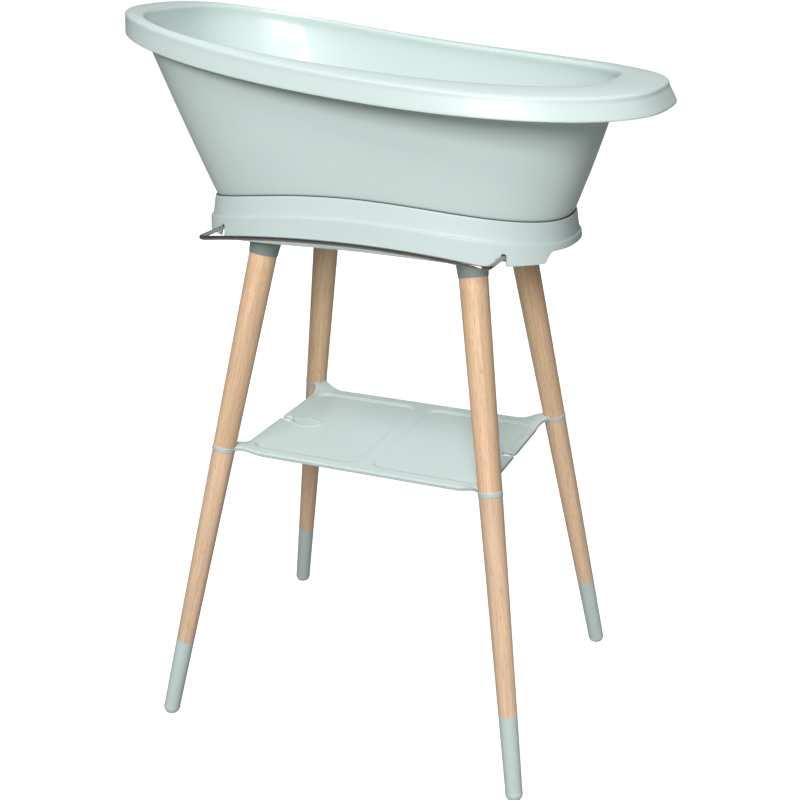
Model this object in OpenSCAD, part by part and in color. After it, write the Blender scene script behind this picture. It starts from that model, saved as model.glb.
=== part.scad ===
/* [Tub] */
// Height of the rim crown at the foot end, above the floor
rim_foot_z = 972; // [964:0.5:980]
// How steeply the rim crown climbs towards the backrest end
rim_rise = 57.4; // [50:0.2:62]
// Half length of the outer rim edge
rim_half_length = 381.8; // [376:0.2:388]
// Half width of the outer rim edge
rim_half_width = 211.2; // [206:0.2:216]
// Half length of the opening inside the rim
lip_half_length = 328.2; // [325:0.2:331]
// Half width of the opening inside the rim
lip_half_width = 179.2; // [177:0.2:181]
// Height of the turned-down rim skirt, from the crown to its lower edge
skirt_drop = 34; // [30:0.5:40]
// How far the skirt's lower edge stands out from the rim's edge
skirt_flare = 6.2; // [3:0.1:8]
// Height of the flat underside of the tub above the floor
tub_base_z = 765.5; // [765.5:0.5:765.5]
// Wall thickness of the tub moulding
tub_wall = 3.2; // [2.6:0.1:3.6]

/* [Drain] */
// Distance of the drain centre from the middle of the rim, towards the foot end
drain_x = 132; // [110:1:134]
// Outer radius of the hose spigot
spigot_r = 10.5; // [10:0.1:11]
// Length of the free hose spigot
spigot_length = 24; // [16:1:26]

/* [Cradle] */
// Half length of the cradle's top edge
cradle_half_length = 267.6; // [267.6:0.1:267.6]
// Half width of the cradle's top edge
cradle_half_width = 138.2; // [138.2:0.1:138.2]
// Height of the cradle's top edge at the middle of its long sides
cradle_crest_z = 813.7; // [812:0.1:816]
// Thickness of the deck that the tub sits on
deck_t = 4; // [3.5:0.5:5]
// Height of the lower edge of the cradle at the middle of its long sides
apron_arch_z = 746; // [743:0.5:749]
// Height of the lower edge of the four corner tabs
apron_tab_z = 733.5; // [731:0.5:736]

/* [Towel rail] */
// Wire radius of the towel rail
rail_r = 3; // [3:0.1:3]
// Half distance between the two rail arms
rail_half_width = 211; // [211:1:211]
// Distance of the front bar from the long centre line
rail_reach = 177.5; // [165:0.5:190]
// Height of the rail arms
rail_z = 749.5; // [749.5:0.5:749.5]
// Angle at which the front bar starts to arch up from its ends
rail_arch = 6.4; // [4:0.1:8]

/* [Legs] */
// Leg axis at floor height, along the length
foot_x = 281.2; // [270:0.2:290]
// Leg axis at floor height, across the width
foot_y = 232.2; // [225:0.2:240]
// Leg axis at the socket's lower edge, along the length
top_x = 158; // [156:0.5:160]
// Leg axis at the socket's lower edge, across the width
top_y = 106.7; // [105:0.5:108]
// Height of the socket's lower edge
socket_z = 717.5; // [714:0.5:721]
// Leg radius at the floor
foot_r = 12.1; // [11.6:0.1:12.6]
// Leg radius at the socket
top_r = 20; // [19.5:0.1:20]
// Height of the foot caps' upper edge
cap_z = 120.7; // [105:0.1:135]

/* [Shelf] */
// Height of the shelf's upper face
shelf_z = 423.5; // [420:0.5:426]
// Thickness of the shelf plate
shelf_t = 6; // [5:0.5:7]
// Half length of the shelf plate
shelf_half_length = 193; // [190:1:196]
// Half width of the shelf plate
shelf_half_width = 144; // [141:1:147]
// Height at which the shelf rings clamp on the leg axes
ring_z = 429.2; // [428.5:0.1:430.5]

/* [Quality] */
// Number of columns round the tub and the cradle
cols = 88; // [64:8:96]

/* [Hidden] */
$fn = 64;

mint_gloss = [0.80, 0.89, 0.86];
mint_matt = [0.82, 0.88, 0.87];
mint_grey = [0.66, 0.75, 0.73];
beech_warm = [0.88, 0.70, 0.50];
beech_pale = [0.90, 0.76, 0.62];
steel = [0.62, 0.62, 0.62];
brass = [0.78, 0.66, 0.40];
grey_rubber = [0.35, 0.38, 0.38];

// Clearance between glued, screwed and plugged parts, and between butting faces
fit = 0.05;
gap = 0.02;
// Middle of the legs, the cradle and the rail along the length
legs_x = 3.95;
cradle_x = -1.12;
rail_x = -6.45;
cradle_n = 2.49;
deck_top = tub_base_z;
deck_under = deck_top - deck_t;
// Thickness of the pads under the deck that the sockets and the rail bear on
pad_t = 8;
pad_under = deck_under - pad_t;
flange_t = 4;
flange_under = pad_under - flange_t;
// Lower edge of the apron at the two ends, and of the skin before the apron is trimmed
apron_end_z = 751.5;
skin_foot_z = 728;

// Leg geometry: the axes lean inwards as they rise
lean = atan(norm([foot_x - top_x, foot_y - top_y]) / socket_z);
slope_r = (top_r - foot_r) / socket_z;
ring_t = 6.5;
stud_r = 4;

// One signed power, for superellipse outlines
function spow(v, p) = v == 0 ? 0 : sign(v) * pow(abs(v), p);

// A point of a superellipse with half axes a and b, exponent n and centre cx
function oval(t, a, b, n, cx, egg = 0) =
    let (px = a * spow(cos(t), 2 / n))
    [cx + px, b * spow(sin(t), 2 / n) * (1 + egg * px / a)];

function mix(a, b, w) = a + (b - a) * w;

// Height of the rim crown at a place along the length
function crown(x) = rim_foot_z + rim_rise * pow(max(0, (472 - x) / 748), 2.25);

// Outer rim edge, inner lip and lower skirt edge, each moved inwards by o
function edge_pt(t, o = 0) = oval(t, rim_half_length - o, rim_half_width - o, 2.69, -6.25, 0.086);
function lip_pt(t, o = 0) = oval(t, lip_half_length - o, lip_half_width - o, 2.95, -17.8, -0.092);
function skirt_pt(t, o = 0) =
    oval(t, rim_half_length + skirt_flare - o, rim_half_width + skirt_flare - o, 2.69, 0, 0.086);

// Rim surface: w runs from the lip at 0 to the outer edge at 1, dz is the drop below the crown
function rim_pt(t, w, dz, o = 0) =
    let (p = mix(lip_pt(t, -o), edge_pt(t, o), w))
    [p.x, p.y, crown(p.x) - dz];

// Skirt surface: w runs from the outer edge at 0 to the lower skirt edge at 1
function skirt_face(t, w, o = 0) =
    let (p = mix(edge_pt(t, o), skirt_pt(t, o), w))
    [p.x, p.y, crown(p.x) - mix(11, skirt_drop, w)];

// Height of the cradle's top edge at a place along the length
function cradle_top(x) =
    let (u = max(-1, min(1, (x - cradle_x) / cradle_half_length)))
    cradle_crest_z - 2.28 * u - 38.6 * u * u + 5.73 * pow(u, 3) + 10.33 * pow(u, 4);

// Outer skin of the cradle, moved outwards by its offset o
function cradle_pt(t, o) = oval(t, cradle_half_length + o, cradle_half_width + o, cradle_n, cradle_x);

// Height where the leaning wall ends and the bottom rounding begins
function turn_z(t) = cradle_top(cradle_pt(t, 0).x) + 1;
function under_rim_z(t) = crown(lip_pt(t).x) - skirt_drop;

// Leaning wall of the tub, moved inwards by o: w runs from the turn at 0 to the rim at 1
function wall_pt(t, w, o = 0) =
    let (a = cradle_pt(t, -2.9 - o))
    let (b = lip_pt(t, 1.2 + o))
    let (p = mix(a, b, w) + 7.2 * w * (1 - w) * [cos(t), sin(t)])
    [p.x, p.y, mix(turn_z(t), under_rim_z(t), w)];

// Flat bottom outline of the tub
function base_pt(t, z, o = 0) =
    let (p = oval(t, 224 - o, 84 - o, 2.3, cradle_x))
    [p.x, p.y, z];

// Bottom rounding: w runs from the flat bottom at 0 to the leaning wall at 1
function round_pt(t, w, z, o) =
    let (a = base_pt(t, z, o))
    let (b = wall_pt(t, (z - turn_z(t)) / (under_rim_z(t) - turn_z(t)), o))
    let (c = wall_pt(t, 0, o))
    a * pow(1 - w, 2) + b * 2 * w * (1 - w) + c * w * w;

function turn(i) = 360 * i / cols;
function ring(f) = [for (i = [0 : cols - 1]) f(turn(i))];

// Skin over a stack of rings; caps close its ends, otherwise the last ring joins the first
module skin(rings, caps) {
    rows = len(rings);
    n = len(rings[0]);
    last = caps ? rows - 2 : rows - 1;
    sides = [for (r = [0 : last], i = [0 : n - 1])
        let (j = (i + 1) % n)
        let (a = r * n)
        let (b = ((r + 1) % rows) * n)
        each [[a + i, b + i, b + j], [a + i, b + j, a + j]]];
    bottom = [[for (i = [0 : n - 1]) i]];
    top = [[for (i = [n - 1 : -1 : 0]) (rows - 1) * n + i]];
    polyhedron(points = [for (r = rings) each r],
        faces = caps ? concat(sides, bottom, top) : sides, convexity = 8);
}

// Places a child on a leg's axis at height z, with its Z axis along the leg
module on_leg(sx, sy, z) {
    u = z / socket_z;
    translate([legs_x + sx * mix(foot_x, top_x, u), sy * mix(foot_y, top_y, u), z])
        rotate([0, lean, atan2(sy * (top_y - foot_y), sx * (top_x - foot_x))])
            children();
}

// Turned piece of leg between two heights
module leg_cone(sx, sy, z0, z1, extra = 0) {
    on_leg(sx, sy, z0)
        cylinder(h = (z1 - z0) / cos(lean), r1 = foot_r + slope_r * z0 + extra,
            r2 = foot_r + slope_r * z1 + extra);
}

// Straight round bar on a leg's axis between two heights
module leg_bar(sx, sy, z0, z1, r) {
    on_leg(sx, sy, z0)
        rotate([0, 0, 180])
            cylinder(h = (z1 - z0) / cos(lean), r = r);
}

module every_leg() {
    for (sx = [-1, 1], sy = [-1, 1]) {
        $sx = sx;
        $sy = sy;
        children();
    }
}

// ---------------------------------------------------------------- tub

module tub_shell() {
    outside = concat(
        [for (w = [0, 0.22, 0.45, 0.7, 1]) ring(function (t) round_pt(t, w, tub_base_z, 0))],
        [for (w = [0.25, 0.5, 0.75, 1])
            ring(function (t) wall_pt(t, w))],
        [ring(function (t) rim_pt(t, 0, 12, tub_wall))],
        [ring(function (t) rim_pt(t, 0.12, 5, tub_wall))],
        [ring(function (t) rim_pt(t, 0.85, 9, 3))],
        [ring(function (t) rim_pt(t, 1, 14, 3))],
        [ring(function (t) skirt_face(t, 1, 2.6))]);
    rim = concat(
        [for (w = [1, 0.9, 0.45, 0.08]) ring(function (t) skirt_face(t, w, w == 1 ? 0.8 : 0))],
        [for (p = [[1, 9.2], [0.985, 7.6], [0.94, 6], [0.8, 3.9], [0.55, 1.4], [0.3, 0], [0.14, 0.2],
            [0.05, 1], [0, 2.6], [-0.03, 5.5]])
            ring(function (t) rim_pt(t, p[0], p[1]))],
        [ring(function (t) rim_pt(t, -0.02, 14))]);
    inside = concat(
        [for (w = [1, 0.75, 0.5, 0.25])
            ring(function (t) wall_pt(t, w, tub_wall))],
        [for (w = [1, 0.7, 0.45, 0.22, 0])
            ring(function (t) round_pt(t, w, tub_base_z + tub_wall, tub_wall))]);
    color(mint_gloss)
        difference() {
            skin(concat(outside, rim, inside), true);
            translate([drain_x, 0, tub_base_z - 10])
                cylinder(h = 20, r = 14 + fit);
        }
}

// Outlet: flange on the tub floor, threaded body, elbow and hose spigot towards the foot end
module drain_outlet() {
    floor_z = tub_base_z + tub_wall;
    axis_z = tub_base_z - 42;
    color(mint_grey)
        translate([drain_x, 0, 0])
            difference() {
                union() {
                    translate([0, 0, floor_z])
                        cylinder(h = 2.4, r1 = 21, r2 = 19);
                    rotate([0, 0, 180]) {
                        translate([0, 0, tub_base_z - 14])
                            cylinder(h = floor_z - tub_base_z + 14, r = 14);
                        translate([0, 0, axis_z - 13])
                            cylinder(h = 42, r = 13);
                    }
                    translate([0, 0, axis_z])
                        rotate([0, 90, 0]) {
                            cylinder(h = 18, r = 12.2);
                            cylinder(h = 18 + spigot_length, r = spigot_r);
                        }
                }
                rotate([0, 0, 180]) {
                    translate([0, 0, axis_z - 9])
                        cylinder(h = 60, r = 8);
                    translate([0, 0, tub_base_z - 7])
                        cylinder(h = 30, r = 10.5);
                }
                translate([0, 0, axis_z])
                    rotate([0, 90, 0])
                        cylinder(h = 60, r = 7.2);
            }
}

module drain_seal() {
    color(grey_rubber)
        translate([drain_x, 0, tub_base_z - 2.5])
            difference() {
                cylinder(h = 2.5, r = 20);
                translate([0, 0, -1])
                    cylinder(h = 5, r = 14 + fit);
            }
}

module drain_ring_nut() {
    color(mint_grey)
        translate([drain_x, 0, tub_base_z - 12])
            difference() {
                union() {
                    cylinder(h = 9.5, r = 19);
                    for (a = [0 : 45 : 315])
                        rotate([0, 0, a])
                            translate([15, -2, 0])
                                cube([6.5, 4, 8]);
                }
                translate([0, 0, -1])
                    cylinder(h = 20, r = 14 + fit);
            }
}

// Push-in stopper with a pull ring
module drain_plug() {
    seat = tub_base_z + tub_wall + 2.4;
    color(mint_grey)
        translate([drain_x, 0, 0]) {
            translate([0, 0, tub_base_z - 5])
                cylinder(h = seat - tub_base_z + 5, r = 10.5 - fit);
            translate([0, 0, seat])
                cylinder(h = 2, r = 15.5);
            translate([0, 0, seat + 2])
                cylinder(h = 2, r1 = 15.5, r2 = 12);
            translate([0, 0, seat + 10])
                rotate([90, 0, 0])
                    rotate_extrude()
                        translate([7, 0])
                            circle(r = 1.8);
        }
}

// ---------------------------------------------------------------- cradle

// Offset of the outer skin at depth d below the top edge: upper band, step, lower band
function flare(d) = d < 26.5 ? 0.15 * d : 7.1 + 0.1 * (d - 27.8);

function cradle_depth(t, d, o) =
    let (p = cradle_pt(t, o))
    [p.x, p.y, cradle_top(p.x) - d];

function cradle_level(t, z, o) =
    let (p = cradle_pt(t, o))
    [p.x, p.y, z];

// Outer skin, moved inwards by wall, at a fixed height
function cradle_skin(t, z, wall) = cradle_level(t, z, flare(cradle_top(cradle_pt(t, 0).x) - z) - wall);

function deck_opening(t, z) =
    let (p = oval(t, 188, 56, 2.5, cradle_x))
    [p.x, p.y, z];

// Lower edge of the apron: an arch, two tabs and raised ends
function apron_z(d) =
    abs(d) <= 187 ? apron_arch_z - (apron_arch_z - apron_tab_z) * (1 - cos(90 * d / 187))
    : abs(d) <= 251 ? apron_tab_z
    : mix(apron_tab_z, apron_end_z, (1 - cos(180 * min(1, (abs(d) - 251) / 9))) / 2);

module apron_cut() {
    half = [0, 20, 40, 60, 80, 100, 120, 140, 160, 187, 251, 252.5, 254, 255.5, 257, 258.5, 260, 300];
    across = concat([for (i = [len(half) - 1 : -1 : 1]) -half[i]], half);
    translate([cradle_x, 250, 0])
        rotate([90, 0, 0])
            linear_extrude(500)
                polygon(concat([for (d = across) [d, apron_z(d)]], [[300, 690], [-300, 690]]));
}

// Plan of a socket flange: a round plate with two screw lobes
module flange_plan() {
    circle(r = 25.5);
    translate([-30, -7])
        square([60, 14]);
    for (s = [-1, 1])
        translate([30 * s, 0])
            circle(r = 8);
}

// Places a child over a socket at the level of the pads
module at_socket(sx, sy, z) {
    u = (pad_under - 2) / socket_z;
    translate([legs_x + sx * mix(foot_x, top_x, u), sy * mix(foot_y, top_y, u), z])
        children();
}

module rail_arms() {
    for (s = [-1, 1])
        translate([rail_x + s * rail_half_width, 0, 0]) {
            $s = s;
            children();
        }
}

module cradle_frame() {
    color(mint_matt)
        difference() {
            union() {
                difference() {
                    skin([
                        ring(function (t) cradle_skin(t, skin_foot_z, 0)),
                        ring(function (t) cradle_depth(t, 28.2, 7.1)),
                        ring(function (t) cradle_depth(t, 27, 6.7)),
                        ring(function (t) cradle_depth(t, 26.5, 4)),
                        ring(function (t) cradle_depth(t, 14, 2.1)),
                        ring(function (t) cradle_depth(t, 1, 0.2)),
                        ring(function (t) cradle_depth(t, 0.2, -0.3)),
                        ring(function (t) cradle_depth(t, 0.2, -1.5)),
                        ring(function (t) cradle_depth(t, 1.2, -2.2)),
                        ring(function (t) cradle_level(t, deck_top + 6, -2.3)),
                        ring(function (t) cradle_level(t, deck_top, -7)),
                        ring(function (t) deck_opening(t, deck_top)),
                        ring(function (t) deck_opening(t, deck_under)),
                        ring(function (t) cradle_skin(t, deck_under, 3)),
                        ring(function (t) cradle_skin(t, skin_foot_z, 3))], false);
                    apron_cut();
                }
                every_leg()
                    at_socket($sx, $sy, pad_under)
                        linear_extrude(pad_t + deck_t / 2)
                            flange_plan();
                rail_arms()
                    translate([-13, -91, rail_z + rail_r + fit])
                        cube([26, 14, deck_under - rail_z - rail_r + 1]);
            }
            rail_arms() {
                translate([0, -100, rail_z + 1])
                    rotate([90, 0, 0])
                        cylinder(h = 40, r = 5);
                translate([-5, -140, 710])
                    cube([10, 40, rail_z + 1 - 710]);
                for (s = [-1, 1])
                    translate([9 * s, -84, rail_z])
                        cylinder(h = 10, r = 1.6);
            }
            every_leg() {
                at_socket($sx, $sy, pad_under - 1)
                    for (s = [-1, 1])
                        translate([30 * s, 0, 0])
                            cylinder(h = 10.5, r = 2);
                leg_bar($sx, $sy, pad_under - 4, deck_top - 2.5, stud_r + fit);
                leg_bar($sx, $sy, pad_under + 2.4, deck_top - 3, 6.5);
            }
        }
}

module leg_socket(sx, sy) {
    color(mint_grey)
        difference() {
            union() {
                intersection() {
                    on_leg(sx, sy, socket_z)
                        rotate([0, 0, 180])
                            cylinder(h = 50, r1 = top_r + 0.6, r2 = top_r + 5.6);
                    translate([-300, -300, 690])
                        cube([600, 600, pad_under - 692]);
                }
                at_socket(sx, sy, flange_under)
                    linear_extrude(flange_t)
                        flange_plan();
            }
            leg_bar(sx, sy, socket_z - 10, socket_z + 24, 17 + fit);
            leg_bar(sx, sy, socket_z, pad_under + 20, stud_r + fit);
            at_socket(sx, sy, flange_under - 1)
                for (s = [-1, 1])
                    translate([30 * s, 0, 0])
                        cylinder(h = 10, r = 2 + fit);
        }
}

module leg_socket_front_left() leg_socket(-1, -1);
module leg_socket_front_right() leg_socket(1, -1);
module leg_socket_rear_left() leg_socket(-1, 1);
module leg_socket_rear_right() leg_socket(1, 1);

module screw(r, head_r, head_h, length) {
    difference() {
        union() {
            translate([0, 0, -head_h])
                cylinder(h = head_h, r = head_r);
            cylinder(h = length, r = r);
        }
        translate([0, 0, -head_h - 1])
            cylinder(h = 2.2, r = head_r * 0.5, $fn = 6);
    }
}

module socket_screws() {
    color(steel)
        every_leg()
            at_socket($sx, $sy, flange_under)
                for (s = [-1, 1])
                    translate([30 * s, 0, 0])
                        screw(2, 3.8, 2.4, 12);
}

// Threaded bolts that draw the upper legs into their sockets
module leg_bolts() {
    color(steel)
        every_leg()
            leg_bar($sx, $sy, socket_z - 24, deck_top - 3, stud_r);
}

// Threaded inserts moulded into the cradle's pads
module leg_bolt_inserts() {
    color(brass)
        every_leg()
            difference() {
                leg_bar($sx, $sy, pad_under + 2.4, deck_top - 3, 6.5);
                leg_bar($sx, $sy, pad_under - 4, deck_top, stud_r + fit);
            }
}

// ---------------------------------------------------------------- towel rail

// Centre line of the rail's right half: arched front bar, bend, arm, turned-in end
function rail_half() =
    let (bend = 13)
    let (hook = 8)
    let (arch_r = (rail_half_width - bend * cos(rail_arch)) / sin(rail_arch))
    let (arm_end = [rail_half_width - hook, -62 - hook])
    concat(
        [for (i = [0 : 8])
            let (a = rail_arch * i / 8)
            [arch_r * sin(a), -rail_reach, bend * sin(rail_arch) + arch_r * (cos(a) - cos(rail_arch))]],
        [for (b = [15 : 15 : 90])
            let (x = bend * sin(b) - bend)
            [rail_half_width + x * cos(rail_arch), -rail_reach + bend - bend * cos(b), -x * sin(rail_arch)]],
        [for (h = [0 : 15 : 90]) [arm_end.x + hook * cos(h), arm_end.y + hook * sin(h), 0]],
        [[arm_end.x - 14, arm_end.y + hook, 0]]);

// Ring of the wire's surface about point i of its centre line
function wire_ring(path, i) =
    let (ahead = path[min(i + 1, len(path) - 1)] - path[max(i - 1, 0)])
    let (side = cross([0, 0, 1], ahead) / norm(cross([0, 0, 1], ahead)))
    let (up = cross(ahead, side) / norm(ahead))
    [for (a = [0 : 15 : 345]) path[i] + rail_r * (cos(a) * side + sin(a) * up)];

module towel_rail() {
    half = rail_half();
    n = len(half) - 1;
    path = concat([for (i = [n : -1 : 1]) [-half[i].x, half[i].y, half[i].z]], half);
    color(steel)
        translate([rail_x, 0, rail_z])
            skin([for (i = [0 : 2 * n]) wire_ring(path, i)], true);
}

// Saddle that holds a rail arm up against the cradle
module rail_clip(s) {
    color(mint_grey)
        translate([rail_x + s * rail_half_width, -84, rail_z])
            difference() {
                translate([-13, -7, -7])
                    cube([26, 14, 7 + rail_r]);
                translate([0, 10, 0])
                    rotate([90, 0, 0])
                        cylinder(h = 20, r = rail_r + fit);
                translate([-rail_r - fit, -10, 0])
                    cube([2 * (rail_r + fit), 20, 10]);
                for (k = [-1, 1])
                    translate([9 * k, 0, -10])
                        cylinder(h = 20, r = 1.6 + fit);
            }
}

module rail_clip_left() rail_clip(-1);
module rail_clip_right() rail_clip(1);

module rail_clip_screws() {
    color(steel)
        rail_arms()
            for (k = [-1, 1])
                translate([9 * k, -84, rail_z - 7])
                    screw(1.6, 3, 2, 15);
}

// ---------------------------------------------------------------- legs and shelf

// Height along a leg of the ring's upper and lower faces
ring_top = ring_z + ring_t / 2 * cos(lean);
ring_under = ring_z - ring_t / 2 * cos(lean);

module upper_leg(sx, sy) {
    color(beech_warm)
        difference() {
            union() {
                leg_cone(sx, sy, ring_top + gap, socket_z - gap);
                leg_bar(sx, sy, socket_z - 1, socket_z + 23, 17);
            }
            leg_bar(sx, sy, socket_z - 24, socket_z + 40, stud_r + fit);
            leg_bar(sx, sy, ring_top - 10, ring_top + 34, stud_r + fit);
        }
}

module upper_leg_front_left() upper_leg(-1, -1);
module upper_leg_front_right() upper_leg(1, -1);
module upper_leg_rear_left() upper_leg(-1, 1);
module upper_leg_rear_right() upper_leg(1, 1);

module lower_leg(sx, sy) {
    color(beech_pale)
        difference() {
            union() {
                leg_cone(sx, sy, cap_z + gap, ring_under - gap);
                leg_bar(sx, sy, cap_z - 60, cap_z + 1, 9.5);
            }
            leg_bar(sx, sy, ring_under - 34, ring_under + 10, stud_r + fit);
        }
}

module lower_leg_front_left() lower_leg(-1, -1);
module lower_leg_front_right() lower_leg(1, -1);
module lower_leg_rear_left() lower_leg(-1, 1);
module lower_leg_rear_right() lower_leg(1, 1);

module leg_joint_studs() {
    color(steel)
        every_leg()
            leg_bar($sx, $sy, ring_under - 33, ring_top + 33, stud_r);
}

// Foot cap: a sleeve over the leg's end with a rounded tip, flat where it stands
module foot_cap(sx, sy) {
    tip_z = 8;
    color(mint_grey)
        difference() {
            union() {
                leg_cone(sx, sy, tip_z + 3, cap_z);
                on_leg(sx, sy, tip_z)
                    sphere(r = foot_r + 0.4);
            }
            translate([-400, -400, -50])
                cube([800, 800, 50]);
            leg_bar(sx, sy, cap_z - 61, cap_z + 10, 9.5 + fit);
        }
}

module foot_cap_front_left() foot_cap(-1, -1);
module foot_cap_front_right() foot_cap(1, -1);
module foot_cap_rear_left() foot_cap(-1, 1);
module foot_cap_rear_right() foot_cap(1, 1);

// Points of an arc about c from angle a0 to angle a1
function arc(c, r, a0, a1, n) = [for (i = [0 : n]) let (a = mix(a0, a1, i / n)) c + r * [cos(a), sin(a)]];

function angle_of(v) = atan2(v.y, v.x);

// One corner of the shelf's plan: hollow flares run from both edges to the leg ring
function shelf_corner() =
    let (u = ring_z / socket_z)
    let (c = [mix(foot_x, top_x, u), mix(foot_y, top_y, u)])
    let (r = foot_r + slope_r * ring_z)
    let (fx = 36)
    let (fy = 50)
    let (ax = shelf_half_length + fx)
    let (by = shelf_half_width + fy)
    let (ay = c.y - sqrt(pow(fx + r, 2) - pow(ax - c.x, 2)))
    let (bx = c.x - sqrt(pow(fy + r, 2) - pow(by - c.y, 2)))
    concat(
        arc([ax, ay], fx, 180, angle_of(c - [ax, ay]), 10),
        [c],
        arc([bx, by], fy, angle_of(c - [bx, by]), -90, 10));

function shelf_outline() =
    let (q = shelf_corner())
    let (n = len(q) - 1)
    concat(
        q,
        [for (i = [n : -1 : 0]) [-q[i].x, q[i].y]],
        [for (p = q) [-p.x, -p.y]],
        [for (i = [n : -1 : 0]) [q[i].x, -q[i].y]]);

// Rectangle with rounded corners, centred
function rounded(w, d, r) = concat(
    arc([w / 2 - r, d / 2 - r], r, 0, 90, 8),
    arc([r - w / 2, d / 2 - r], r, 90, 180, 8),
    arc([r - w / 2, r - d / 2], r, 180, 270, 8),
    arc([w / 2 - r, r - d / 2], r, 270, 360, 8));

// Shelf: plate with two shallow recesses and end slots, sloping necks and four leg rings
module shelf_tray() {
    ring_r = foot_r + slope_r * ring_z + 0.6;
    recess_w = shelf_half_length - 26;
    color(mint_matt)
        difference() {
            union() {
                difference() {
                    translate([legs_x, 0, shelf_z - shelf_t])
                        linear_extrude(shelf_t)
                            polygon(shelf_outline());
                    every_leg()
                        leg_bar($sx, $sy, ring_z - 40, ring_z + 40, ring_r + 2);
                }
                every_leg()
                    on_leg($sx, $sy, ring_z) {
                        rotate([0, 0, 180])
                            cylinder(h = ring_t, r = ring_r, center = true);
                        translate([8, -13, 0.2 - ring_t / 2])
                            cube([34, 26, ring_t - 0.4]);
                    }
            }
            for (s = [-1, 1]) {
                translate([legs_x + s * (10 + recess_w / 2), 0, shelf_z - 1.8])
                    linear_extrude(8)
                        polygon(rounded(recess_w, 2 * shelf_half_width - 44, 16));
                translate([legs_x + s * shelf_half_length, 0, shelf_z])
                    cube([44, 6, 40], center = true);
                translate([legs_x + s * (shelf_half_length - 46), 0, shelf_z - 1])
                    cube([50, 5, 4], center = true);
            }
            every_leg()
                leg_bar($sx, $sy, ring_z - 30, ring_z + 30, stud_r + fit);
        }
}

tub_shell();
drain_outlet();
drain_seal();
drain_ring_nut();
drain_plug();
cradle_frame();
towel_rail();
rail_clip_left();
rail_clip_right();
rail_clip_screws();
leg_socket_front_left();
leg_socket_front_right();
leg_socket_rear_left();
leg_socket_rear_right();
socket_screws();
leg_bolts();
leg_bolt_inserts();
upper_leg_front_left();
upper_leg_front_right();
upper_leg_rear_left();
upper_leg_rear_right();
shelf_tray();
leg_joint_studs();
lower_leg_front_left();
lower_leg_front_right();
lower_leg_rear_left();
lower_leg_rear_right();
foot_cap_front_left();
foot_cap_front_right();
foot_cap_rear_left();
foot_cap_rear_right();
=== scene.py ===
import math

import bmesh
import bpy
import numpy as np
from mathutils import Matrix, Vector
from mathutils.geometry import delaunay_2d_cdt


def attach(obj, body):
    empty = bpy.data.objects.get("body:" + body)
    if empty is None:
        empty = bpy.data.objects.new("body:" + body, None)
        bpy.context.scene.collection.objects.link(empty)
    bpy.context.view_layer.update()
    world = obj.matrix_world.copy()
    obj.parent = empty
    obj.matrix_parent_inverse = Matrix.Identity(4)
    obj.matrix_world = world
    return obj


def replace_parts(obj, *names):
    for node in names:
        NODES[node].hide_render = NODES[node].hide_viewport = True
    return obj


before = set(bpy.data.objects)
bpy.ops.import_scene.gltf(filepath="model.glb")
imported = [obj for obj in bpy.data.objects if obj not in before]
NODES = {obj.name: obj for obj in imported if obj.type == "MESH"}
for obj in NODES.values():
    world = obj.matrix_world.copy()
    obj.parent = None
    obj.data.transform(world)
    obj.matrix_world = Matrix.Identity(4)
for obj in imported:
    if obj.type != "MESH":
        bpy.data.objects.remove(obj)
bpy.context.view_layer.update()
LEGS = ["front_left", "front_right", "rear_left", "rear_right"]
MM = 0.001

# ------------------------------------------------------------------ colours, linear RGB
# Tub: the rim colour here and the inside colour below are darker copies of the body colour, painted
# shade
MINT_RIM_PAINTED_SHADE = (0.555, 0.655, 0.632)
MINT_BODY = (0.655, 0.775, 0.742)
MINT_SATIN = (0.560, 0.660, 0.645)
# Painted shade: the tub's inside colour, darker than its body colour
MINT_INNER_PAINTED_SHADE = (0.550, 0.652, 0.632)
MINT_GREY = (0.500, 0.605, 0.580)
# Painted shade: the leg sockets' colour, darkened for the shade under the cradle
MINT_SOCKET_PAINTED_SHADE = (0.230, 0.285, 0.265)
BEECH_WARM = (0.765, 0.515, 0.318)
BEECH_PALE = (0.760, 0.530, 0.350)
WIRE_GREY = (0.42, 0.39, 0.365)
ZINC_GREY = (0.60, 0.61, 0.62)
BRASS_YELLOW = (0.72, 0.55, 0.27)
SEAL_BLACK = (0.06, 0.07, 0.07)

# ------------------------------------------------------------------ finish values
PLASTIC_IOR = 1.46
MOTTLE_SCALE, SMEAR_SCALE, GRAIN_SCALE = 7.0, 9.0, 900.0
GRAIN_DEPTH = 0.00006
GRAIN_FINE, GRAIN_SATIN, GRAIN_COARSE = 0.04, 0.16, 0.20
ROUGH_TUB, ROUGH_SATIN, ROUGH_GREY = 0.38, 0.42, 0.45
# Shelf colour against the stand's colour, painted light: the edges darker (painted shade), then the
# faces that look up lighter (painted light)
SHELF_EDGE_SHADE, SHELF_TOP_LIGHT = 0.85, 1.42
# Coat on the tub's outside and inside, and its roughness
COAT_OUTSIDE, COAT_INSIDE, COAT_ROUGH = 0.12, 0.80, 0.05
# The inside finish of the tub's floor, its gloss and its darker painted shade, ends between these
# heights, m
BASIN_TOP, BASIN_LOW = 0.93, 0.90
# How far the painted shade under the rim spreads, m
CREASE_REACH = 0.06
LACQUER, LACQUER_ROUGH = 0.12, 0.35


# ------------------------------------------------------------------ material helpers
def new_material(name):
    """A material with its node tree and its main shader."""
    mat = bpy.data.materials.new(name)
    mat.use_nodes = True
    tree = mat.node_tree
    return mat, tree, tree.nodes["Principled BSDF"]


def add(tree, kind, **inputs):
    """Adds a node; keyword inputs are socket names with _ for a space."""
    node = tree.nodes.new(kind)
    for key, value in inputs.items():
        node.inputs[key.replace("_", " ")].default_value = value
    return node


def coordinate(tree, kind="Object"):
    return tree.nodes.new("ShaderNodeTexCoord").outputs[kind]


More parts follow.
